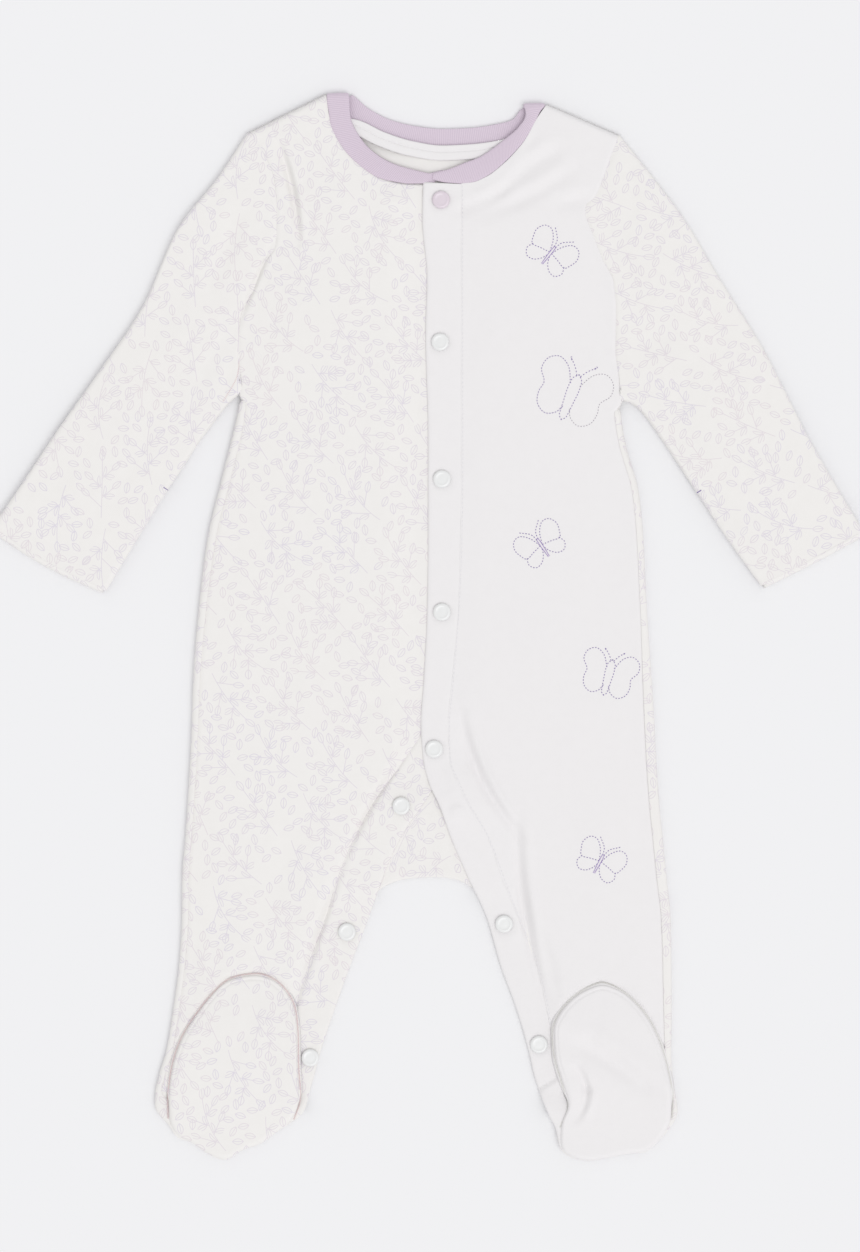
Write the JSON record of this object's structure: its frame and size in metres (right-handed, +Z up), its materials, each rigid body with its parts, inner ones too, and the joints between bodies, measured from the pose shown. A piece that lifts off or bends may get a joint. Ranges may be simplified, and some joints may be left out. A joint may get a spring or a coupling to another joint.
{
  "type": "footed baby sleepsuit",
  "caption": "Footed baby sleepsuit laid flat: snap front, half printed and half plain, lilac neck rib, long sleeves with folded scratch mitts, feet folded up on the legs.",
  "frame": {"origin": "on the surface that the suit lies on, under the middle of its outline", "axes": "+X to the wearer's left sleeve, +Y from the feet to the neck, +Z up through the layers"},
  "size_m": [0.4888, 0.5981, 0.009],
  "materials": {
    "printed_interlock": "matte cotton interlock, cream white with a fine outline leaf print in pale lilac and grey",
    "plain_interlock": "matte cotton interlock, plain white",
    "lilac_rib": "matte fine cotton rib, pale lilac",
    "white_snap": "glossy translucent white",
    "lilac_snap": "glossy lilac"
  },
  "bodies": {
    "root": {"back": "printed_interlock", "front_right": "printed_interlock", "front_left": "plain_interlock", "placket_right": "printed_interlock", "placket_left": "plain_interlock", "sleeve_right": "printed_interlock", "sleeve_left": "printed_interlock", "mitt_right": "printed_interlock", "mitt_left": "printed_interlock", "neck_rib": "lilac_rib", "neck_tape": "plain_interlock", "sole_right": "printed_interlock", "sole_left": "plain_interlock", "foot_upper_right": "printed_interlock", "foot_upper_left": "plain_interlock", "snap_cap_neck": "lilac_snap", "snap_cap_body_1": "white_snap", "snap_cap_body_2": "white_snap", "snap_cap_body_3": "white_snap", "snap_cap_body_4": "white_snap", "snap_cap_leg_right_1": "white_snap", "snap_cap_leg_right_2": "white_snap", "snap_cap_leg_right_3": "white_snap", "snap_cap_leg_left_1": "white_snap", "snap_cap_leg_left_2": "white_snap", "snap_cap_leg_left_3": "white_snap"}
  },
  "joints": []
}
